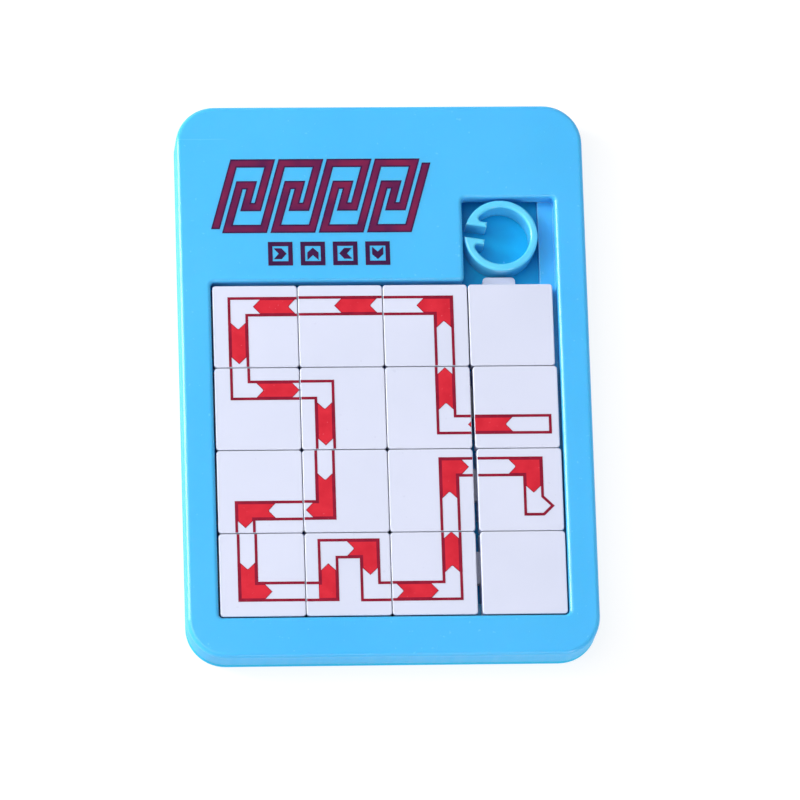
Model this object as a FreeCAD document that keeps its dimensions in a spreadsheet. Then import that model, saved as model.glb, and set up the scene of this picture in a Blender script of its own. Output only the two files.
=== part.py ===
import FreeCAD, Part
import os
import Sketcher
from FreeCAD import Vector

# A pocket sliding-tile maze: a blue two-shell tray holds sixteen white tiles and one free cell,
# and a loose springy ring fills the free cell while the puzzle is carried.
# Frame: origin in the middle of the underside, X across, Y towards the header, Z up, millimetres.

doc = FreeCAD.newDocument("SlidingTilePuzzle")

sizes = {
    # tray outline
    "trayWidth": 73.0,
    "trayLength": 101.6,
    "trayHeight": 7.4,
    "cornerRadius": 7.0,
    "topEdgeRadius": 0.8,
    "coverThickness": 1.8,
    "footEdgeRadius": 0.5,
    "seamChamfer": 0.15,
    # window and free cell, as reaches from the tray's centre lines
    "windowLeft": -30.9,
    "windowRight": 31.1,
    "windowBottom": -43.5,
    "windowTop": 18.1,
    "freeCellLeft": 14.45,
    "freeCellTop": 33.5,
    "windowCornerRadius": 0.8,
    "windowEdgeRadius": 0.7,
    # the lip over the tongues and the ledge under the overhangs
    "lipThickness": 3.0,
    "grooveDepth": 2.6,
    "ledgeWidth": 2.75,
    "ledgeTop": 4.15,
    # tiles
    "tileSize": 15.1,
    "tilePitch": 15.2,
    "tileHeight": 5.2,
    "plateThickness": 2.7,
    "overhang": 3.0,
    "tileCornerRadius": 0.6,
    "tileEdgeRadius": 0.2,
    "tongueWidth": 5.8,
    "tongueLength": 2.1,
    "tongueThickness": 1.7,
    "tongueRise": 0.55,
    "tongueShift": 1.7,
    "tongueCornerRadius": 0.7,
    "tongueRoot": 0.6,
    "tileWall": 1.2,
    "tileSkin": 1.5,
    "leftGap": 0.295,
    "topGap": 0.725,
    "floorGap": 0.05,
    # how far each tile of the last column stands to the right of its even spacing
    "lastColumnShiftOne": 0.10,
    "lastColumnShiftTwo": 0.42,
    "lastColumnShiftThree": 0.62,
    "lastColumnShiftFour": 0.73,
    # ring
    "ringAcross": 21.4,
    "ringUp": 26.55,
    "ringRadius": 6.6,
    "ringWall": 1.35,
    "ringHeight": 5.0,
    "ringEdgeRadius": 0.4,
    "ringTurn": -9.3,
    "halfGap": 1.15,
    "lugThickness": 0.95,
    "lugTip": 2.8,
    "lugRoot": 6.0,
    "lugFilletRadius": 0.6,
    # coring of the header's underside
    "coreWidth": 9.0,
    "corePitch": 10.9,
    "coreLeft": -32.5,
    "coreSkin": 2.0,
    "lowerCoreCount": 4,
    "upperCoreCount": 6,
    "lowerCoreBottom": 23.4,
    "lowerCoreTop": 32.4,
    "upperCoreBottom": 38.0,
    "upperCoreTop": 46.4,
    # pegs under the frame and their sockets in the cover
    "pegRadius": 1.2,
    "pegLength": 1.2,
    "socketRadius": 1.23,
    "socketDepth": 1.3,
    # underside of the cover
    "panelMargin": 5.0,
    "panelDepth": 0.3,
    "panelCornerRadius": 3.0,
    "markRadius": 2.0,
    "markDepth": 0.1,
    "markAcross": 24.0,
    "markUp": 37.0,
    # pry slot in the left side of the seam
    "pryMiddle": -8.6,
    "pryLength": 4.8,
    "pryDepth": 1.1,
    "pryHeight": 0.7,
    # how far an open-sided cut starts outside the face that it opens
    "overrun": 1.0,
}

pegPlaces = [
    (-27.0, 35.2), (4.5, 35.2), (33.6, 42.2),
    (32.6, 2.0),
    (30.0, -46.2), (0.0, -46.2), (-30.0, -46.2),
]

gridSize = 4  # tiles along each side of the window
nearly = 0.0001  # within this, two coordinates count as the same
close = 0.01  # the same for the bounds of a rounded edge
leastCut = 0.001  # a cut or a pattern that takes away less has missed

sheet = doc.addObject("Spreadsheet::Sheet", "Sizes")


def addCell(name, value):
    row = len(aliases) + 1
    sheet.set(f"A{row}", name)
    sheet.set(f"B{row}", str(value))
    sheet.setAlias(f"B{row}", name)
    aliases.append(name)


aliases = []
for sizeName, sizeValue in sizes.items():
    addCell(sizeName, sizeValue)
numberWords = ["One", "Two", "Three", "Four", "Five", "Six", "Seven"]
for word, (across, up) in zip(numberWords, pegPlaces):
    addCell(f"pegAcross{word}", across)
    addCell(f"pegUp{word}", up)
doc.recompute()


def bound(formula):
    """Put the sheet's name in front of every alias of a formula."""
    text = formula
    for name in sorted(aliases, key=len, reverse=True):
        text = text.replace(name, f"@{aliases.index(name)}@")
    for index, name in enumerate(aliases):
        text = text.replace(f"@{index}@", f"Sizes.{name}")
    return text


def value(formula):
    """The number that a formula of sheet aliases gives now."""
    return float(sheet.evalExpression(bound(formula)))


def newBody(name):
    body = doc.addObject("PartDesign::Body", name)
    body.Label = name
    return body


def newSketch(body, name, height="0"):
    """An empty sketch on the body's XY plane, raised to a height."""
    sketch = body.newObject("Sketcher::SketchObject", name)
    plane = next(item for item in body.Origin.OriginFeatures if item.Role == "XY_Plane")
    sketch.AttachmentSupport = [(plane, "")]
    sketch.MapMode = "FlatFace"
    sketch.setExpression("AttachmentOffset.Base.z", bound(height))
    return sketch


def fix(sketch, kind, geometry, point, formula):
    """Hold one point's X or Y, measured from the sketch's origin, to a formula."""
    name = f"size{sketch.ConstraintCount}"
    constraint = Sketcher.Constraint(kind, -1, 1, geometry, point, value(formula))
    index = sketch.addConstraint(constraint)
    sketch.renameConstraint(index, name)
    sketch.setExpression(f"Constraints.{name}", bound(formula))


def addRectangle(sketch, left, right, bottom, top):
    """A rectangle whose four sides are formulas."""
    first = sketch.GeometryCount
    x0, x1, y0, y1 = value(left), value(right), value(bottom), value(top)
    corners = [Vector(x0, y0, 0), Vector(x1, y0, 0), Vector(x1, y1, 0), Vector(x0, y1, 0)]
    for side in range(4):
        sketch.addGeometry(Part.LineSegment(corners[side], corners[(side + 1) % 4]))
    for side in range(4):
        following = first + (side + 1) % 4
        sketch.addConstraint(Sketcher.Constraint("Coincident", first + side, 2, following, 1))
    for side, kind in enumerate(["Horizontal", "Vertical", "Horizontal", "Vertical"]):
        sketch.addConstraint(Sketcher.Constraint(kind, first + side))
    fix(sketch, "DistanceX", first, 1, left)
    fix(sketch, "DistanceY", first, 1, bottom)
    fix(sketch, "DistanceX", first + 2, 1, right)
    fix(sketch, "DistanceY", first + 2, 1, top)


def addCircle(sketch, across, up, radius):
    """A circle whose centre and radius are formulas."""
    centre = Vector(value(across), value(up), 0)
    circle = sketch.addGeometry(Part.Circle(centre, Vector(0, 0, 1), value(radius)))
    name = f"size{sketch.ConstraintCount}"
    index = sketch.addConstraint(Sketcher.Constraint("Radius", circle, value(radius)))
    sketch.renameConstraint(index, name)
    sketch.setExpression(f"Constraints.{name}", bound(radius))
    fix(sketch, "DistanceX", circle, 3, across)
    fix(sketch, "DistanceY", circle, 3, up)


def addPad(body, sketch, length, downwards=False):
    """Raise a sketch's profile into a solid."""
    feature = body.newObject("PartDesign::Pad", f"{sketch.Name}Pad")
    feature.Profile = sketch
    feature.Reversed = downwards
    feature.setExpression("Length", bound(length))
    sketch.Visibility = False
    doc.recompute()
    return feature


def addPocket(body, sketch, depth, upwards=False):
    """Cut a sketch's profile out of the solid, and make sure that it did cut."""
    before = body.Shape.Volume
    feature = body.newObject("PartDesign::Pocket", f"{sketch.Name}Cut")
    feature.Profile = sketch
    feature.Reversed = upwards
    feature.setExpression("Length", bound(depth))
    doc.recompute()
    if body.Shape.Volume >= before - leastCut:
        raise RuntimeError(f"{feature.Name} cut nothing")
    return feature


def addRounding(body, name, radius, chosen, kind="Fillet"):
    """Round or chamfer the edges of the body's newest feature that a test chooses."""
    base = body.Tip
    names = [f"Edge{index}" for index, edge in enumerate(base.Shape.Edges, 1) if chosen(edge)]
    if not names:
        raise RuntimeError(f"{name} found no edges")
    feature = body.newObject(f"PartDesign::{kind}", name)
    feature.Base = (base, names)
    feature.setExpression("Radius" if kind == "Fillet" else "Size", bound(radius))
    doc.recompute()
    return feature


def upright(edge):
    """Whether an edge is a straight line along Z."""
    box = edge.BoundBox
    return box.XLength < nearly and box.YLength < nearly and box.ZLength > nearly


def levelAt(edge, height):
    """Whether a whole edge lies at one height."""
    box = edge.BoundBox
    return abs(box.ZMin - height) < nearly and abs(box.ZMax - height) < nearly


def near(edge, across, up):
    """Whether an upright edge stands at a place."""
    point = edge.Vertexes[0].Point
    return upright(edge) and abs(point.x - across) < nearly and abs(point.y - up) < nearly


def onOutline(edge):
    """Whether an edge belongs to the tray's outer outline."""
    box = edge.BoundBox
    halfWidth, halfLength = value("trayWidth / 2"), value("trayLength / 2")
    cornerX, cornerY = value("trayWidth / 2 - cornerRadius"), value("trayLength / 2 - cornerRadius")
    nearX, farX = sorted([abs(box.XMin), abs(box.XMax)])
    nearY, farY = sorted([abs(box.YMin), abs(box.YMax)])
    inCorner = nearX > cornerX - close and nearY > cornerY - close
    return inCorner or farX > halfWidth - close or farY > halfLength - close


def insideWindow(edge):
    """Whether an edge lies within the window and free cell's bounds."""
    box = edge.BoundBox
    inX = box.XMin > value("windowLeft") - close and box.XMax < value("windowRight") + close
    return inX and box.YMin > value("windowBottom") - close and box.YMax < value("freeCellTop") + close


def addOutline(body, name, low, height):
    """The tray's outline as a slab with round corners."""
    sketch = newSketch(body, name, low)
    addRectangle(sketch, "-trayWidth / 2", "trayWidth / 2", "-trayLength / 2", "trayLength / 2")
    addPad(body, sketch, height)
    addRounding(body, f"{name}Corners", "cornerRadius", upright)


def addPegCircles(sketch, radius):
    for word in numberWords[:len(pegPlaces)]:
        addCircle(sketch, f"pegAcross{word}", f"pegUp{word}", radius)


def makeFrontFrame():
    """The upper shell: header, borders, lip over the tongues and ledge under the overhangs."""
    body = newBody("front_frame")
    addOutline(body, "FrameOutline", "coverThickness", "trayHeight - coverThickness")
    top = value("trayHeight")
    addRounding(body, "FrameTopEdge", "topEdgeRadius", lambda edge: levelAt(edge, top))
    seam = value("coverThickness")
    addRounding(body, "FrameSeamEdge", "seamChamfer", lambda edge: levelAt(edge, seam), "Chamfer")

    # the window and the free cell, from the top down to the ledge
    window = newSketch(body, "Window", "trayHeight")
    addRectangle(window, "windowLeft", "windowRight", "windowBottom", "windowTop")
    addPocket(body, window, "trayHeight - ledgeTop")
    cell = newSketch(body, "FreeCell", "trayHeight")
    addRectangle(cell, "freeCellLeft", "windowRight", "windowTop - overrun", "freeCellTop")
    addPocket(body, cell, "trayHeight - ledgeTop")
    corners = [
        ("windowLeft", "windowBottom"), ("windowRight", "windowBottom"), ("windowRight", "freeCellTop"),
        ("freeCellLeft", "freeCellTop"), ("freeCellLeft", "windowTop"), ("windowLeft", "windowTop"),
    ]
    places = [(value(across), value(up)) for across, up in corners]
    addRounding(body, "WindowCorners", "windowCornerRadius",
                lambda edge: any(near(edge, across, up) for across, up in places))
    addRounding(body, "WindowEdge", "windowEdgeRadius",
                lambda edge: levelAt(edge, top) and not onOutline(edge) and insideWindow(edge))

    # the channel below it, from the underside up to the lip
    channel = newSketch(body, "Channel", "coverThickness")
    addRectangle(channel, "windowLeft - grooveDepth", "windowRight - ledgeWidth",
                 "windowBottom + ledgeWidth", "windowTop + grooveDepth")
    channelRise = "trayHeight - lipThickness - coverThickness"
    addPocket(body, channel, channelRise, upwards=True)
    cellChannel = newSketch(body, "CellChannel", "coverThickness")
    addRectangle(cellChannel, "freeCellLeft - grooveDepth", "windowRight - ledgeWidth",
                 "windowTop", "freeCellTop + grooveDepth")
    addPocket(body, cellChannel, channelRise, upwards=True)

    # the header is cored from below, with ribs between the pockets
    addCoring(body, "LowerCore", "lowerCoreBottom", "lowerCoreTop", "lowerCoreCount")
    addCoring(body, "UpperCore", "upperCoreBottom", "upperCoreTop", "upperCoreCount")

    pegs = newSketch(body, "Pegs", "coverThickness")
    addPegCircles(pegs, "pegRadius")
    addPad(body, pegs, "pegLength", downwards=True)
    return body


def addCoring(body, name, bottom, top, count):
    """A row of equal pockets in the header's underside."""
    core = newSketch(body, name, "coverThickness")
    addRectangle(core, "coreLeft", "coreLeft + coreWidth", bottom, top)
    pocket = addPocket(body, core, "trayHeight - coverThickness - coreSkin", upwards=True)
    before = body.Shape.Volume
    pattern = body.newObject("PartDesign::LinearPattern", f"{name}Row")
    pattern.Originals = [pocket]
    pattern.Direction = (core, ["H_Axis"])
    pattern.setExpression("Occurrences", bound(count))
    pattern.setExpression("Length", bound(f"corePitch * ({count} - 1)"))
    body.Tip = pattern
    doc.recompute()
    if body.Shape.Volume >= before - leastCut:
        raise RuntimeError(f"{name} was not repeated")


def makeBackCover():
    """The lower shell: the floor that the tiles slide on, with sockets for the frame's pegs."""
    body = newBody("back_cover")
    addOutline(body, "CoverOutline", "0", "coverThickness")
    addRounding(body, "CoverFootEdge", "footEdgeRadius", lambda edge: levelAt(edge, 0))
    seam = value("coverThickness")
    addRounding(body, "CoverSeamEdge", "seamChamfer", lambda edge: levelAt(edge, seam), "Chamfer")

    sockets = newSketch(body, "Sockets", "coverThickness")
    addPegCircles(sockets, "socketRadius")
    addPocket(body, sockets, "socketDepth")

    slot = newSketch(body, "PrySlot", "coverThickness")
    addRectangle(slot, "-trayWidth / 2 - overrun", "-trayWidth / 2 + pryDepth",
                 "pryMiddle - pryLength / 2", "pryMiddle + pryLength / 2")
    addPocket(body, slot, "pryHeight")

    panel = newSketch(body, "Panel", "0")
    addRectangle(panel, "-trayWidth / 2 + panelMargin", "trayWidth / 2 - panelMargin",
                 "-trayLength / 2 + panelMargin", "trayLength / 2 - panelMargin")
    addPocket(body, panel, "panelDepth", upwards=True)
    reach = value("trayWidth / 2 - panelMargin")
    rise = value("trayLength / 2 - panelMargin")
    corners = [(sideX * reach, sideY * rise) for sideX in (-1, 1) for sideY in (-1, 1)]
    addRounding(body, "PanelCorners", "panelCornerRadius",
                lambda edge: any(near(edge, across, up) for across, up in corners))

    marks = newSketch(body, "EjectorMarks", "panelDepth")
    for sideX in ("-", ""):
        for sideY in ("-", ""):
            addCircle(marks, f"{sideX}markAcross", f"{sideY}markUp", "markRadius")
    addPocket(body, marks, "markDepth", upwards=True)
    return body


def makeTile(row, column):
    """One tile: a square plate on a smaller hollow foot, with a tongue on its left and its top side."""
    name = f"tile_r{row}c{column}"
    body = newBody(name)
    tag = f"R{row}C{column}"
    plate = newSketch(body, f"Plate{tag}", "tileHeight - plateThickness")
    addRectangle(plate, "-tileSize / 2", "tileSize / 2", "-tileSize / 2", "tileSize / 2")
    addPad(body, plate, "plateThickness")
    addRounding(body, f"PlateCorners{tag}", "tileCornerRadius", upright)
    top = value("tileHeight")
    addRounding(body, f"PlateEdge{tag}", "tileEdgeRadius", lambda edge: levelAt(edge, top))

    foot = newSketch(body, f"Foot{tag}", "0")
    addRectangle(foot, "-tileSize / 2", "tileSize / 2 - overhang",
                 "-tileSize / 2 + overhang", "tileSize / 2")
    addPad(body, foot, "tileHeight - plateThickness")

    tongues = newSketch(body, f"Tongues{tag}", "tongueRise")
    addRectangle(tongues, "-tileSize / 2 - tongueLength", "-tileSize / 2 + tongueRoot",
                 "tongueShift - tongueWidth / 2", "tongueShift + tongueWidth / 2")
    addRectangle(tongues, "-tongueShift - tongueWidth / 2", "-tongueShift + tongueWidth / 2",
                 "tileSize / 2 - tongueRoot", "tileSize / 2 + tongueLength")
    addPad(body, tongues, "tongueThickness")
    tip = value("tileSize / 2 + tongueLength")

    def atTip(edge):
        point = edge.Vertexes[0].Point
        return upright(edge) and (abs(point.x + tip) < nearly or abs(point.y - tip) < nearly)

    addRounding(body, f"TongueCorners{tag}", "tongueCornerRadius", atTip)

    cavity = newSketch(body, f"Cavity{tag}", "0")
    addRectangle(cavity, "-tileSize / 2 + tileWall", "tileSize / 2 - overhang - tileWall",
                 "-tileSize / 2 + overhang + tileWall", "tileSize / 2 - tileWall")
    addPocket(body, cavity, "tileHeight - tileSkin", upwards=True)

    across = f"windowLeft + leftGap + tileSize / 2 + tilePitch * {column - 1}"
    if column == gridSize:
        across += f" + lastColumnShift{numberWords[row - 1]}"
    body.setExpression("Placement.Base.x", bound(across))
    up = f"windowTop - topGap - tileSize / 2 - tilePitch * {row - 1}"
    body.setExpression("Placement.Base.y", bound(up))
    body.setExpression("Placement.Base.z", bound("coverThickness + floorGap"))
    return body


def makeLockRing():
    """The loose ring: an open band whose two ends turn inwards as lugs."""
    body = newBody("lock_ring")
    band = newSketch(body, "Band", "0")
    addCircle(band, "0", "0", "ringRadius")
    addCircle(band, "0", "0", "ringRadius - ringWall")
    addPad(body, band, "ringHeight")

    opening = newSketch(body, "RingOpening", "0")
    addRectangle(opening, "-ringRadius - overrun", "-lugTip - overrun", "-halfGap", "halfGap")
    addPocket(body, opening, "ringHeight", upwards=True)

    lugs = newSketch(body, "Lugs", "0")
    addRectangle(lugs, "-lugRoot", "-lugTip", "-halfGap - lugThickness", "-halfGap")
    addRectangle(lugs, "-lugRoot", "-lugTip", "halfGap", "halfGap + lugThickness")
    addPad(body, lugs, "ringHeight")
    outerFace = value("halfGap + lugThickness")
    inside = value("ringRadius - ringWall")
    rootAcross = -(inside ** 2 - outerFace ** 2) ** 0.5
    addRounding(body, "LugRoots", "lugFilletRadius",
                lambda edge: any(near(edge, rootAcross, side * outerFace) for side in (-1, 1)))
    rim = value("ringHeight")
    addRounding(body, "RingRim", "ringEdgeRadius", lambda edge: levelAt(edge, rim))

    body.Placement.Rotation = FreeCAD.Rotation(Vector(0, 0, 1), value("ringTurn"))
    body.setExpression("Placement.Rotation.Angle", bound("ringTurn * 1 deg"))
    body.setExpression("Placement.Base.x", bound("ringAcross"))
    body.setExpression("Placement.Base.y", bound("ringUp"))
    body.setExpression("Placement.Base.z", bound("coverThickness + floorGap"))
    return body


subParts = [makeFrontFrame(), makeBackCover(), makeLockRing()]
for tileRow in range(1, gridSize + 1):
    for tileColumn in range(1, gridSize + 1):
        subParts.append(makeTile(tileRow, tileColumn))
doc.recompute()

for item in doc.Objects:
    if "Invalid" in item.State or "Error" in item.State:
        raise RuntimeError(f"{item.Name} did not recompute: {item.State}")
for body in subParts:
    if body.Shape.isNull() or not body.Shape.isValid() or len(body.Shape.Solids) != 1:
        raise RuntimeError(f"{body.Label} is not one valid solid")

os.makedirs("parts", exist_ok=True)
for body in subParts:
    body.Shape.exportStep(f"parts/{body.Label}.step")
    box = body.Shape.BoundBox
    print(f"{body.Label}: {body.Shape.Volume:.1f} mm3, X {box.XMin:.2f} to {box.XMax:.2f}, "
          f"Y {box.YMin:.2f} to {box.YMax:.2f}, Z {box.ZMin:.2f} to {box.ZMax:.2f}")
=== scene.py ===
import math

import bmesh
import bpy
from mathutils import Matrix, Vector


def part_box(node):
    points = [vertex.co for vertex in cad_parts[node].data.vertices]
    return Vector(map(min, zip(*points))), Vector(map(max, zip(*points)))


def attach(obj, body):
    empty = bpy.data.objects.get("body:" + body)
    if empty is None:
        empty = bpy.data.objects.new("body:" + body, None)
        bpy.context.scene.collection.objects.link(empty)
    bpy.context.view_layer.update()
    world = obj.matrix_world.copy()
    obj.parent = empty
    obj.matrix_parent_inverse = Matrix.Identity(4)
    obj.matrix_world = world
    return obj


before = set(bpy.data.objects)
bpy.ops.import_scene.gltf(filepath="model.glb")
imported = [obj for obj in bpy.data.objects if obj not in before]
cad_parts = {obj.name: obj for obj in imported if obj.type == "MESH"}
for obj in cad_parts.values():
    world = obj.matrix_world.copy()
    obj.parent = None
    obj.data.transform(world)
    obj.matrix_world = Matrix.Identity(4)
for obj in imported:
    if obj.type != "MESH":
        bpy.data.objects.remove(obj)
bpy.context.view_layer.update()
mm = 0.001  # the scene is in metres, the sizes below are in millimetres
print("frame loaded:", len(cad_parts), "nodes")

cameraSetup = {
    "eye": (-114.9, -376.84, 1324.96),  # nearly overhead, a little to the left and the near side
    "turn": (15.889, -4.577, -1.784),  # degrees about X, Y and Z
    "lens": 348.47,
    "sensor": 36.0,
    "nearest": 10.0,
}


def addCamera():
    camera = bpy.data.cameras.new("overhead_camera")
    camera.lens = cameraSetup["lens"]
    camera.sensor_width = cameraSetup["sensor"]
    camera.clip_start = cameraSetup["nearest"] * mm
    stand = bpy.data.objects.new("overhead_camera", camera)
    bpy.context.scene.collection.objects.link(stand)
    stand.location = Vector(cameraSetup["eye"]) * mm
    stand.rotation_euler = [math.radians(angle) for angle in cameraSetup["turn"]]
    bpy.context.scene.camera = stand
    bpy.context.scene.view_settings.view_transform = "Standard"


studio = {
    "floorSize": 6000.0,
    "floorDrop": 0.03,  # under the tray's foot
    "floorColour": (0.26, 0.261, 0.264),
    "floorShade": 0.985,  # darkest share of that colour between the fibres
    "floorFibre": 40,
    "floorRoughness": 0.85,
    "floorShine": 0.1,
    "floorGlow": 0.8,  # a lit table, so the shadows stay pale
    "skyStrength": 0.36,
    # name: (place, width, length, power in watts)
    "lights": {
        "left_window": ((-600, 200, 300), 220, 560, 5.4),
        "top_softbox": ((-480, 60, 1150), 700, 900, 5.3),
        "near_lamp": ((97, -955, 630), 260, 130, 1.0),
        "right_lamp": ((400, -890, 400), 130, 220, 2.3),
    },
}


def addFloor():
    level = -studio["floorDrop"] * mm
    bpy.ops.mesh.primitive_plane_add(size=studio["floorSize"] * mm, location=(0, 0, level))
    floor = bpy.context.object
    floor.name = "studio_floor"
    paper = bpy.data.materials.new("floor_paper")
    paper.use_nodes = True
    shader = paper.node_tree.nodes["Principled BSDF"]
    shader.inputs["Roughness"].default_value = studio["floorRoughness"]
    shader.inputs["Specular IOR Level"].default_value = studio["floorShine"]
    shader.inputs["Emission Color"].default_value = (1, 1, 1, 1)
    shader.inputs["Emission Strength"].default_value = studio["floorGlow"]
    fibre = noise(paper, objectPlace(paper), studio["floorFibre"], 2.0)
    shaded = [part * studio["floorShade"] for part in studio["floorColour"]]
    tone = ramp(paper, fibre, (0.3, shaded), (0.7, studio["floorColour"]))
    feed(paper, tone, shader.inputs["Base Color"])
    floor.data.materials.append(paper)


def addLights():
    sky = bpy.data.worlds.new("studio_sky")
    bpy.context.scene.world = sky
    sky.use_nodes = True
    sky.node_tree.nodes["Background"].inputs["Color"].default_value = (1, 1, 1, 1)
    sky.node_tree.nodes["Background"].inputs["Strength"].default_value = studio["skyStrength"]
    for name, (place, width, length, power) in studio["lights"].items():
        lamp = bpy.data.lights.new(name, "AREA")
        lamp.shape = "RECTANGLE"
        lamp.size = width * mm
        lamp.size_y = length * mm
        lamp.energy = power
        stand = bpy.data.objects.new(name, lamp)
        bpy.context.scene.collection.objects.link(stand)
        stand.location = Vector(place) * mm
        stand.rotation_euler = (-stand.location).to_track_quat("-Z", "Y").to_euler()


def feed(material, source, socket):
    # a node's output is linked to the socket, and a plain number or colour is set on it
    if isinstance(source, bpy.types.NodeSocket):
        material.node_tree.links.new(source, socket)
    elif isinstance(source, (int, float)):
        socket.default_value = source
    else:
        socket.default_value = (*source, 1)


def objectPlace(material, turn=0.0, stretch=(1, 1, 1)):
    place = material.node_tree.nodes.new("ShaderNodeTexCoord").outputs["Object"]
    if turn == 0 and stretch == (1, 1, 1):
        return place
    mapping = material.node_tree.nodes.new("ShaderNodeMapping")
    mapping.inputs["Rotation"].default_value = (0, 0, math.radians(turn))
    mapping.inputs["Scale"].default_value = stretch
    feed(material, place, mapping.inputs["Vector"])
    return mapping.outputs["Vector"]


def noise(material, place, scale, detail, roughness=0.5):
    texture = material.node_tree.nodes.new("ShaderNodeTexNoise")
    texture.inputs["Scale"].default_value = scale
    texture.inputs["Detail"].default_value = detail
    texture.inputs["Roughness"].default_value = roughness
    feed(material, place, texture.inputs["Vector"])
    return texture.outputs["Fac"]


def ramp(material, source, low, high):
    blend = material.node_tree.nodes.new("ShaderNodeValToRGB")
    for stop, (position, colour) in zip(blend.color_ramp.elements, (low, high)):
        stop.position = position
        stop.color = (*colour, 1)
    feed(material, source, blend.inputs["Fac"])
    return blend.outputs["Color"]


def spread(material, source, fromLow, fromHigh, toLow, toHigh):
    stretch = material.node_tree.nodes.new("ShaderNodeMapRange")
    stretch.inputs["From Min"].default_value = fromLow
    stretch.inputs["From Max"].default_value = fromHigh
    stretch.inputs["To Min"].default_value = toLow
    stretch.inputs["To Max"].default_value = toHigh
    feed(material, source, stretch.inputs["Value"])
    return stretch.outputs["Result"]


def compute(material, operation, first, second):
    result = material.node_tree.nodes.new("ShaderNodeMath")
    result.operation = operation
    feed(material, first, result.inputs[0])
    feed(material, second, result.inputs[1])
    return result.outputs["Value"]


def mix(material, blendType, share, first, second):
    blend = material.node_tree.nodes.new("ShaderNodeMix")
    blend.data_type = "RGBA"
    blend.blend_type = blendType
    feed(material, share, blend.inputs[0])
    feed(material, first, blend.inputs[6])
    feed(material, second, blend.inputs[7])
    return blend.outputs[2]


# wear marks, with the painted highlight on edges and the painted shade in gaps
wearAndPaintedLight = {
    "edgeStart": 0.98,  # how well the rounded surface agrees with the true one where the wear and painted highlight start
    "edgeFull": 0.84,
    "edgePatch": 350,
    "gapBlack": 0.05,  # openness of a gap at its darkest painted shade, and where that painted shade ends
    "gapClear": 0.55,
    "hairTurns": (24, -58),  # degrees, one for each family of scratches
    "hairStretch": (40, 1500, 40),
    "hairFaint": 0.66,
    "hairSharp": 0.74,
    "wallStart": 0.25,  # upright share of the normal, from a slope to a wall
    "wallFull": 0.02,
    "dragStretch": (900, 900, 60),
    "speckFaint": 0.74,
    "speckSharp": 0.79,
}


def edgeShare(material, place, reach, amount):
    # 1 along the edges of the piece and 0 on its flats, broken up by noise; it lightens edges as wear and as
    # painted highlight
    rounded = material.node_tree.nodes.new("ShaderNodeBevel")
    rounded.samples = 6
    rounded.inputs["Radius"].default_value = reach * mm
    surface = material.node_tree.nodes.new("ShaderNodeNewGeometry")
    agree = material.node_tree.nodes.new("ShaderNodeVectorMath")
    agree.operation = "DOT_PRODUCT"
    feed(material, rounded.outputs["Normal"], agree.inputs[0])
    feed(material, surface.outputs["Normal"], agree.inputs[1])
    edge = spread(material, agree.outputs["Value"], wearAndPaintedLight["edgeStart"], wearAndPaintedLight["edgeFull"], 0.0, amount)
    broken = spread(material, noise(material, place, wearAndPaintedLight["edgePatch"], 3.0), 0.3, 0.6, 0.55, 1.0)
    return compute(material, "MULTIPLY", edge, broken)


def paintedCreviceShade(material, reach, darkest):
    # painted shade: narrow gaps darkened by their ambient occlusion, down to the darkest colour
    occlusion = material.node_tree.nodes.new("ShaderNodeAmbientOcclusion")
    occlusion.samples = 8
    occlusion.inputs["Distance"].default_value = reach * mm
    stops = (wearAndPaintedLight["gapBlack"], darkest), (wearAndPaintedLight["gapClear"], (1, 1, 1))
    return ramp(material, occlusion.outputs["AO"], *stops)


def scratches(material, amount):
    # two crossing families of hair-thin marks, as an addition to the roughness
    marks = 0.0
    for turn in wearAndPaintedLight["hairTurns"]:
        hairs = noise(material, objectPlace(material, turn, wearAndPaintedLight["hairStretch"]), 1.0, 2.0)
        family = spread(material, hairs, wearAndPaintedLight["hairFaint"], wearAndPaintedLight["hairSharp"], 0.0, amount)
        marks = compute(material, "ADD", family, marks)
    return marks


def wallDrag(material, amount):
    # walls that slid out of the mould are duller than the polished faces
    surface = material.node_tree.nodes.new("ShaderNodeNewGeometry")
    parts = material.node_tree.nodes.new("ShaderNodeSeparateXYZ")
    feed(material, surface.outputs["Normal"], parts.inputs["Vector"])
    facing = compute(material, "ABSOLUTE", parts.outputs["Z"], 0.0)
    drag = noise(material, objectPlace(material, 0, wearAndPaintedLight["dragStretch"]), 1.0, 2.0)
    dull = spread(material, facing, wearAndPaintedLight["wallStart"], wearAndPaintedLight["wallFull"], 0.0, amount)
    return compute(material, "MULTIPLY", dull, spread(material, drag, 0.3, 0.7, 0.85, 1.15))


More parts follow.
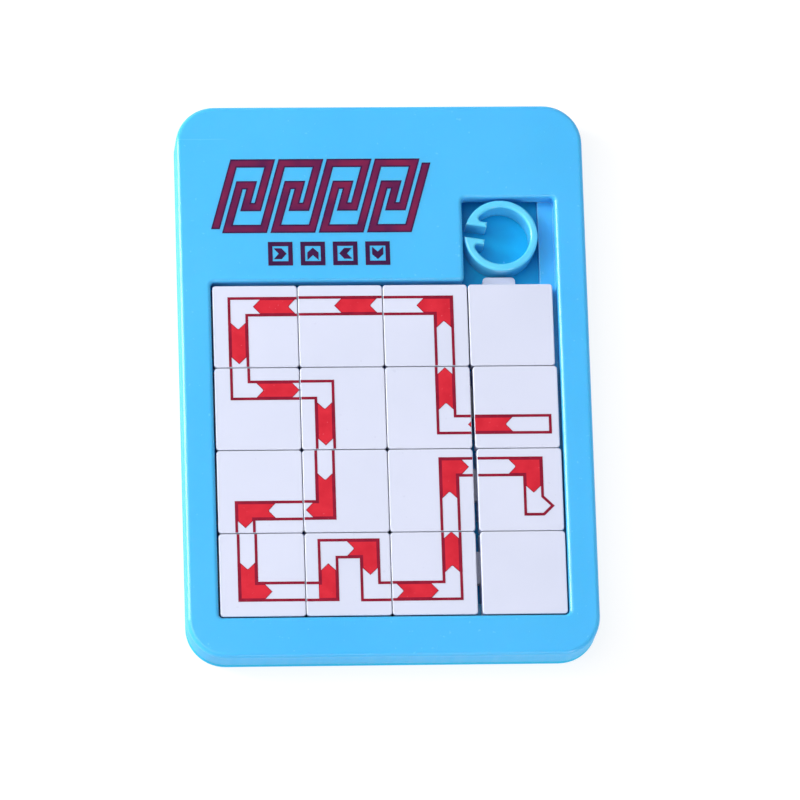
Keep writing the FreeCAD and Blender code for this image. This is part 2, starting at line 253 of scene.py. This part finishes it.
def makeFinish(name, look):
    # moulded or printed plastic with a cloudy tint, specks, edges lightened as wear and painted highlight,
    # gaps darkened as painted shade, scratches and a fine skin
    material = bpy.data.materials.new(name)
    material.use_nodes = True
    shader = material.node_tree.nodes["Principled BSDF"]
    place = objectPlace(material)

    cloud = noise(material, place, look["cloud"], 3.0)
    colour = ramp(material, cloud, (0.3, look["dark"]), (0.7, look["light"]))
    if "speckTint" in look:
        dust = noise(material, place, look["speck"], 1.0)
        specks = spread(material, dust, wearAndPaintedLight["speckFaint"], wearAndPaintedLight["speckSharp"], 0.0, look["speckShare"])
        colour = mix(material, "MIX", specks, colour, look["speckTint"])
    # edges lightened: partly wear, partly a painted highlight along the rounded edges
    if "wornAndHighlightTint" in look:
        edges = edgeShare(material, place, look["wornAndHighlightReach"], look["wornAndHighlightShare"])
        colour = mix(material, "MIX", edges, colour, look["wornAndHighlightTint"])
    # painted shade: narrow gaps darkened by ambient occlusion
    if "gapPaintedShade" in look:
        paintedGapShade = paintedCreviceShade(material, look["gapReach"], look["gapPaintedShade"])
        colour = mix(material, "MULTIPLY", 1.0, colour, paintedGapShade)
    feed(material, colour, shader.inputs["Base Color"])

    smear = noise(material, place, look["smear"], 6.0, 0.65)
    gloss = spread(material, smear, 0.0, 1.0, *look["gloss"])
    gloss = compute(material, "ADD", gloss, scratches(material, look["scratch"]))
    if "drag" in look:
        gloss = compute(material, "ADD", gloss, wallDrag(material, look["drag"]))
    feed(material, gloss, shader.inputs["Roughness"])

    bump = material.node_tree.nodes.new("ShaderNodeBump")
    bump.inputs["Strength"].default_value = look["grainStrength"]
    bump.inputs["Distance"].default_value = look["grainDepth"] * mm
    feed(material, noise(material, place, look["grain"], 2.0), bump.inputs["Height"])
    feed(material, bump.outputs["Normal"], shader.inputs["Normal"])

    shader.inputs["IOR"].default_value = look["ior"]
    shader.inputs["Specular IOR Level"].default_value = look["shine"]
    shader.inputs["Coat Weight"].default_value = look["coat"]
    shader.inputs["Coat Roughness"].default_value = look["coatRoughness"]
    if "scatter" in look:
        shader.inputs["Subsurface Weight"].default_value = look["scatterShare"]
        shader.inputs["Subsurface Radius"].default_value = look["scatter"]
        shader.inputs["Subsurface Scale"].default_value = look["scatterReach"] * mm
    return material


finishes = {
    "tray_blue": makeFinish("sky_blue_styrene", {
        "dark": (0.060, 0.462, 0.87), "light": (0.076, 0.495, 0.91), "cloud": 26,
        "speckTint": (0.16, 0.62, 0.96), "speck": 1300, "speckShare": 0.5,
        # edges lightened as wear and as a painted highlight
        "wornAndHighlightTint": (0.45, 0.84, 0.99), "wornAndHighlightReach": 0.3, "wornAndHighlightShare": 0.7,
        "gloss": (0.15, 0.20), "smear": 160, "scratch": 0.08, "drag": 0.55,
        "grain": 2600, "grainStrength": 0.1, "grainDepth": 0.01,
        "ior": 1.48, "shine": 0.5, "coat": 0.0, "coatRoughness": 0.14,
        "scatter": (0.15, 0.8, 1.0), "scatterShare": 0.35, "scatterReach": 2.5,
    }),
    "cover_blue": makeFinish("cover_blue_styrene", {
        "dark": (0.004, 0.43, 0.78), "light": (0.008, 0.48, 0.83), "cloud": 20,
        "speckTint": (0.10, 0.62, 0.96), "speck": 1100, "speckShare": 0.5,
        "gloss": (0.33, 0.4), "smear": 120, "scratch": 0.08, "drag": 0.35,
        "grain": 1800, "grainStrength": 0.15, "grainDepth": 0.015,
        "ior": 1.4, "shine": 0.3, "coat": 0.0, "coatRoughness": 0.2,
        "scatter": (0.15, 0.8, 1.0), "scatterShare": 0.3, "scatterReach": 2.5,
    }),
    "ring_blue": makeFinish("ring_blue_styrene", {
        "dark": (0.10, 0.58, 0.91), "light": (0.13, 0.64, 0.94), "cloud": 120,
        "speckTint": (0.25, 0.72, 0.96), "speck": 1500, "speckShare": 0.4,
        # edges lightened as wear and as a painted highlight
        "wornAndHighlightTint": (0.48, 0.87, 0.97), "wornAndHighlightReach": 0.35, "wornAndHighlightShare": 0.8,
        "gloss": (0.14, 0.2), "smear": 260, "scratch": 0.06,
        "grain": 2600, "grainStrength": 0.12, "grainDepth": 0.012,
        "ior": 1.5, "shine": 0.55, "coat": 0.35, "coatRoughness": 0.1,
        "scatter": (0.2, 0.9, 1.0), "scatterShare": 0.35, "scatterReach": 1.6,
    }),
    "tile_white": makeFinish("cool_white_styrene", {
        "dark": (0.625, 0.66, 0.81), "light": (0.66, 0.69, 0.845), "cloud": 55,
        "speckTint": (0.52, 0.54, 0.70), "speck": 1000, "speckShare": 0.3,
        # edges lightened as wear and as a painted highlight
        "wornAndHighlightTint": (0.90, 0.91, 0.98), "wornAndHighlightReach": 0.2, "wornAndHighlightShare": 0.8,
        # painted shade in the gaps between tiles
        "gapPaintedShade": (0.14, 0.15, 0.20), "gapReach": 1.0,
        "gloss": (0.3, 0.38), "smear": 200, "scratch": 0.06,
        "grain": 3000, "grainStrength": 0.12, "grainDepth": 0.01,
        "ior": 1.48, "shine": 0.5, "coat": 0.15, "coatRoughness": 0.15,
        "scatter": (0.9, 0.9, 1.0), "scatterShare": 0.15, "scatterReach": 1.2,
    }),
    "ink_red": makeFinish("red_print_ink", {
        "dark": (0.56, 0.012, 0.030), "light": (0.65, 0.020, 0.040), "cloud": 400,
        "speckTint": (0.72, 0.12, 0.16), "speck": 2600, "speckShare": 0.5,
        "gloss": (0.38, 0.5), "smear": 500, "scratch": 0.05,
        "grain": 6000, "grainStrength": 0.3, "grainDepth": 0.01,
        "ior": 1.45, "shine": 0.2, "coat": 0.0, "coatRoughness": 0.2,
    }),
    "ink_crimson": makeFinish("crimson_line_ink", {
        "dark": (0.20, 0.002, 0.022), "light": (0.29, 0.005, 0.030), "cloud": 500,
        "gloss": (0.38, 0.5), "smear": 500, "scratch": 0.05,
        "grain": 6000, "grainStrength": 0.3, "grainDepth": 0.01,
        "ior": 1.45, "shine": 0.2, "coat": 0.0, "coatRoughness": 0.2,
    }),
    "ink_plum": makeFinish("plum_print_ink", {
        "dark": (0.085, 0.006, 0.062), "light": (0.20, 0.010, 0.060), "cloud": 220,
        "speckTint": (0.30, 0.02, 0.05), "speck": 2200, "speckShare": 0.5,
        "gloss": (0.36, 0.48), "smear": 400, "scratch": 0.05,
        "grain": 6000, "grainStrength": 0.3, "grainDepth": 0.01,
        "ior": 1.45, "shine": 0.2, "coat": 0.0, "coatRoughness": 0.2,
    }),
    "ink_plum_edge": makeFinish("dark_plum_edge_ink", {
        "dark": (0.030, 0.003, 0.045), "light": (0.055, 0.005, 0.06), "cloud": 500,
        "gloss": (0.36, 0.48), "smear": 400, "scratch": 0.05,
        "grain": 6000, "grainStrength": 0.3, "grainDepth": 0.01,
        "ior": 1.45, "shine": 0.2, "coat": 0.0, "coatRoughness": 0.2,
    }),
}


def paint(piece, finish):
    piece.data.materials.clear()
    piece.data.materials.append(finishes[finish])


def paintFrame():
    colours = {"front_frame": "tray_blue", "back_cover": "cover_blue", "lock_ring": "ring_blue"}
    for name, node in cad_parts.items():
        paint(node, colours.get(name, "tile_white"))


bpy.ops.object.select_all(action="DESELECT")
addCamera()
addFloor()
addLights()
print("studio ready")
paintFrame()
print("finishes on", len(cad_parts), "moulded pieces")


def startEditing(piece):
    bpy.ops.object.select_all(action="DESELECT")
    piece.select_set(True)
    bpy.context.view_layer.objects.active = piece
    bpy.ops.object.mode_set(mode="EDIT")
    bpy.ops.mesh.select_all(action="DESELECT")


def stopEditing():
    bpy.ops.object.mode_set(mode="OBJECT")


touching = 0.01 * mm  # two points nearer than this are one


def pickEdge(piece, spot):
    bpy.ops.mesh.select_mode(type="EDGE")
    bpy.ops.mesh.select_all(action="DESELECT")
    mesh = bmesh.from_edit_mesh(piece.data)
    for edge in mesh.edges:
        middle = (edge.verts[0].co + edge.verts[1].co) / 2
        if (middle - spot).length < touching:
            edge.select_set(True)
    bmesh.update_edit_mesh(piece.data)


def pickVertex(piece, spot):
    bpy.ops.mesh.select_mode(type="VERT")
    bpy.ops.mesh.select_all(action="DESELECT")
    mesh = bmesh.from_edit_mesh(piece.data)
    for vertex in mesh.verts:
        if (vertex.co - spot).length < touching:
            vertex.select_set(True)
    bmesh.update_edit_mesh(piece.data)


def splitEdge(piece, middle, push):
    # breaks an edge in two at its middle, which is then moved
    pickEdge(piece, middle)
    bpy.ops.mesh.subdivide(number_cuts=1)
    pickVertex(piece, middle)
    bpy.ops.transform.translate(value=push)


def layStrip(name, route, width, arrow=0.0):
    # one flat face of even width along a route of square turns, with an arrow point at its far end
    points = [Vector(point) for point in route]
    ahead = (points[1] - points[0]).normalized()
    seed = 2 * touching
    bpy.ops.object.select_all(action="DESELECT")
    bpy.ops.mesh.primitive_plane_add(size=1, location=points[0] + ahead * seed / 2)
    strip = bpy.context.object
    strip.name = name
    strip.scale = [seed if abs(part) > 0.5 else width for part in ahead]
    bpy.ops.object.transform_apply(location=True, rotation=True, scale=True)
    startEditing(strip)
    edge = points[0] + ahead * seed
    for turn in range(1, len(points)):
        last = turn == len(points) - 1
        stop = points[turn] if last else points[turn] - ahead * width / 2
        if (stop - edge).length > seed:
            pickEdge(strip, edge)
            bpy.ops.mesh.extrude_edges_move(TRANSFORM_OT_translate={"value": stop - edge})
        if not last:
            pickEdge(strip, stop)
            bpy.ops.mesh.extrude_edges_move(TRANSFORM_OT_translate={"value": ahead * width})
            ahead = (points[turn + 1] - points[turn]).normalized()
            edge = points[turn] + ahead * width / 2
    if arrow:
        splitEdge(strip, points[-1], ahead * arrow)
    bpy.ops.mesh.select_mode(type="FACE")
    bpy.ops.mesh.select_all(action="SELECT")
    bpy.ops.mesh.dissolve_limited(angle_limit=math.radians(1))
    bpy.ops.mesh.normals_make_consistent(inside=False)
    if bmesh.from_edit_mesh(strip.data).faces[:][0].normal.z < 0:
        bpy.ops.mesh.flip_normals()
    stopEditing()
    return strip


def notchStart(strip, middle, push, blunt=0.0):
    # cuts a pointed notch into the near end of a strip
    startEditing(strip)
    splitEdge(strip, middle, push)
    if blunt:
        pickVertex(strip, middle + push)
        bpy.ops.mesh.bevel(affect="VERTICES", offset=blunt, segments=3)
    stopEditing()


def keepInside(strip, low, high):
    # trims the flat shape to a rectangle
    startEditing(strip)
    for corner, outwards in ((low, (-1, 0, 0)), (low, (0, -1, 0)), (high, (1, 0, 0)), (high, (0, 1, 0))):
        bpy.ops.mesh.select_all(action="SELECT")
        bpy.ops.mesh.bisect(plane_co=corner, plane_no=outwards, clear_outer=True)
    stopEditing()


def splitRim(strip, rim):
    # insets the flat shape, and returns its inner part as a piece of its own
    startEditing(strip)
    bpy.ops.mesh.select_mode(type="FACE")
    bpy.ops.mesh.select_all(action="SELECT")
    bpy.ops.mesh.inset(thickness=rim, use_boundary=True, use_even_offset=True)
    bpy.ops.mesh.separate(type="SELECTED")
    stopEditing()
    return [piece for piece in bpy.context.selected_objects if piece != strip][0]


def leanOver(strip, share, base):
    # pushes each row of points sideways, by a share of its height above the base
    startEditing(strip)
    bpy.ops.mesh.select_mode(type="VERT")
    heights = sorted({vertex.co.y for vertex in bmesh.from_edit_mesh(strip.data).verts})
    for height in heights:
        bpy.ops.mesh.select_all(action="DESELECT")
        for vertex in bmesh.from_edit_mesh(strip.data).verts:
            if vertex.co.y == height:
                vertex.select_set(True)
        bmesh.update_edit_mesh(strip.data)
        bpy.ops.transform.translate(value=((height - base) * share, 0, 0))
    stopEditing()


def joinPieces(pieces, name):
    bpy.ops.object.select_all(action="DESELECT")
    for piece in pieces:
        piece.select_set(True)
    bpy.context.view_layer.objects.active = pieces[0]
    if len(pieces) > 1:
        bpy.ops.object.join()
    pieces[0].name = name
    return pieces[0]


def thicken(piece, thickness):
    bpy.ops.object.select_all(action="DESELECT")
    bpy.context.view_layer.objects.active = piece
    piece.select_set(True)
    film = piece.modifiers.new("film", "SOLIDIFY")
    film.thickness = thickness
    film.offset = 1
    bpy.ops.object.modifier_apply(modifier=film.name)


def finishPrint(piece, finish, body):
    thicken(piece, inkFilm["thickness"] * mm)
    paint(piece, finish)
    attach(piece, body)


def along(route, distance):
    # the point at that distance along a route
    for start, end in zip(route, route[1:]):
        leg = math.dist(start, end)
        if distance <= leg or end == route[-1]:
            share = distance / leg
            return (start[0] + (end[0] - start[0]) * share, start[1] + (end[1] - start[1]) * share)
        distance -= leg


def stretchOf(route, begin, end):
    # the part of a route between two distances along it, with the turns between
    points = [along(route, begin)]
    walked = 0
    for start, turn in zip(route, route[1:]):
        walked += math.dist(start, turn)
        if begin < walked < end:
            points.append(turn)
    points.append(along(route, end))
    return points


inkFilm = {"thickness": 0.045, "sink": 0.01}

mazePath = {
    "tileSize": 15.1,  # without the tongues
    "width": 3.6,  # over both border lines
    "line": 0.49,  # each border line
    "rim": 0.1,  # dark edge of a red block
    "point": 1.25,  # length of an arrow point
    "blunt": 0.22,
    "tileEdge": 0.1,  # the print stops this far inside the tile's sides
    # Each tile's stretch of path in the order of travel, measured from the tile's middle. Points at 10 are
    # off the tile. Each red block runs from one arrow point to the next, as distances along the route.
    "tiles": {
        "r2c4": {"route": [(6.2, -3.2), (-10, -3.2)], "red": [(8.2, 16)]},
        "r2c3": {"route": [(10, -3.2), (3.1, -3.2), (3.1, 10)], "red": [(-1, 3.1), (10.9, 17.5)]},
        "r1c3": {"route": [(3.2, -10), (3.2, 3.7), (-10, 3.7)], "red": [(10.8, 18.5)]},
        "r1c2": {"route": [(10, 3.75), (-10, 3.75)], "red": [(4.7, 11.1)]},
        "r1c1": {"route": [(10, 3.65), (-3.1, 3.65), (-3.1, -10)], "red": [(4.1, 10.4), (17.3, 23.7)]},
        "r2c1": {"route": [(-3.0, 10), (-3.0, 3.4), (10, 3.4)], "red": [(10.7, 17.1)]},
        "r2c2": {"route": [(-10, 3.45), (-3.3, 3.45), (-3.3, -10)], "red": [(10.3, 17)]},
        "r3c2": {"route": [(-3.6, 10), (-3.6, -3.45), (-10, -3.45)], "red": [(8, 17.05)]},
        "r3c1": {"route": [(10, -3.5), (-2.75, -3.5), (-2.75, -10)], "red": [(8.6, 15.9)]},
        "r4c1": {"route": [(-2.55, 10), (-2.55, -3.05), (10, -3.05)], "red": [(9, 17.3)]},
        "r4c2": {
            "route": [(-10, -3.1), (-3.5, -3.1), (-3.5, 4.65), (3.9, 4.65), (3.9, -3.2), (10, -3.2)],
            "red": [(4.7, 11.6), (18.9, 26.5)],
            "flatFirst": True,  # no notch in the first red block
        },
        "r4c3": {"route": [(-10, -3.15), (3.25, -3.15), (3.25, 10)], "red": [(4.5, 10.7), (17.8, 24)]},
        "r3c3": {"route": [(3.2, -10), (3.2, 4.2), (10, 4.2)], "red": [(9.7, 17.8)]},
        "r3c4": {
            "route": [(-10, 4.2), (2.35, 4.2), (2.35, -3.05), (4.15, -3.05)],
            "red": [(9.3, 17.2)],
            "arrowEnd": 1.85,  # the path ends in a large arrow point
        },
    },
}


def printPath(tileName, layout):
    node = "tile_" + tileName
    low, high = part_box(node)
    # the box holds the two locating tongues as well, which stand out on the left and at the top
    half = mazePath["tileSize"] / 2 * mm
    middle = Vector((high.x - half, low.y + half, high.z - inkFilm["sink"] * mm))
    edge = half - mazePath["tileEdge"] * mm
    clipLow = middle - Vector((edge, edge, 0))
    clipHigh = middle + Vector((edge, edge, 0))

    def onTile(points):
        return [middle + Vector((x, y, 0)) * mm for x, y in points]

    arrow = layout.get("arrowEnd", 0) * mm
    border = layStrip(node + "_border", onTile(layout["route"]), mazePath["width"] * mm, arrow)
    inner = splitRim(border, mazePath["line"] * mm)
    bpy.data.objects.remove(inner)
    rims, blocks = [border], []
    blockWidth = (mazePath["width"] - 2 * mazePath["line"]) * mm
    for index, (begin, end) in enumerate(layout["red"]):
        flat = index == 0 and "flatFirst" in layout
        back = 0 if flat else mazePath["point"]
        places = onTile(stretchOf(layout["route"], begin - back, end - mazePath["point"]))
        block = layStrip(f"{node}_red{index}", places, blockWidth, mazePath["point"] * mm)
        if not flat:
            ahead = (places[1] - places[0]).normalized() * mazePath["point"] * mm
            notchStart(block, places[0], ahead, mazePath["blunt"] * mm)
        fill = splitRim(block, mazePath["rim"] * mm)
        rims.append(block)
        blocks.append(fill)
    border = joinPieces(rims, node + "_border")
    red = joinPieces(blocks, node + "_red")
    keepInside(border, clipLow, clipHigh)
    keepInside(red, clipLow, clipHigh)
    finishPrint(border, "ink_crimson", node)
    finishPrint(red, "ink_red", node)


for tileName, layout in mazePath["tiles"].items():
    printPath(tileName, layout)
print("maze path printed on", len(mazePath["tiles"]), "tiles")


headerPrint = {
    "keyStart": (-29.8, 27.85),
    "keyStep": (2.16, 4.08),  # one step of the pattern across and up
    "keys": 4,
    "keyLine": 1.55,
    "lean": 0.29,  # sideways for each millimetre up
    "edge": 0.27,  # darker edge of each line
    "markPlace": (-18.3, 23.2),  # middle of the first mark
    "markStep": 5.8,
    "markSize": 4.4,
    "markLine": 0.8,
    "arrowBack": 1.2,
    "arrowFront": 0.2,
    "arrowWidth": 2.0,
    "arrowPoint": 0.9,
    # one key of the pattern, in steps
    "keyColumns": 4,
    "keyRows": 3,
    "keyTurns": [(0, 0), (0, 3), (3, 3), (3, 1), (2, 1), (2, 2), (1, 2), (1, 0)],
}


def printHeader():
    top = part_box("front_frame")[1].z - inkFilm["sink"] * mm
    startX, startY = headerPrint["keyStart"]
    stepX, stepY = headerPrint["keyStep"]
    turns = []
    for key in range(headerPrint["keys"]):
        turns += [(across + key * headerPrint["keyColumns"], up) for across, up in headerPrint["keyTurns"]]
    end = headerPrint["keys"] * headerPrint["keyColumns"]
    turns += [(end, 0), (end, headerPrint["keyRows"])]
    route = [Vector((startX + across * stepX, startY + up * stepY, top / mm)) * mm for across, up in turns]
    band = layStrip("header_key_edge", route, headerPrint["keyLine"] * mm)
    leanOver(band, headerPrint["lean"], startY * mm)
    fill = splitRim(band, headerPrint["edge"] * mm)
    fill.name = "header_key"
    finishPrint(band, "ink_plum_edge", "tray")
    finishPrint(fill, "ink_plum", "tray")

    size = headerPrint["markSize"]
    x, y = headerPrint["markPlace"]
    marks = []
    for index, heading in enumerate(((1, 0), (0, 1), (-1, 0), (0, -1))):
        place = Vector((x + index * headerPrint["markStep"], y, top / mm)) * mm
        side = Vector((size / 2, 0, 0)) * mm
        square = layStrip(f"mark{index}", [place - side, place + side], size * mm)
        hole = splitRim(square, headerPrint["markLine"] * mm)
        bpy.data.objects.remove(hole)
        ahead = Vector((*heading, 0)) * mm
        back = place - ahead * headerPrint["arrowBack"]
        front = place + ahead * headerPrint["arrowFront"]
        width, point = headerPrint["arrowWidth"] * mm, headerPrint["arrowPoint"]
        arrow = layStrip(f"arrow{index}", [back, front], width, point * mm)
        notchStart(arrow, back, ahead * point)
        marks += [square, arrow]
    marks = joinPieces(marks, "header_marks")
    finishPrint(marks, "ink_plum_edge", "tray")


printHeader()
print("header printed")
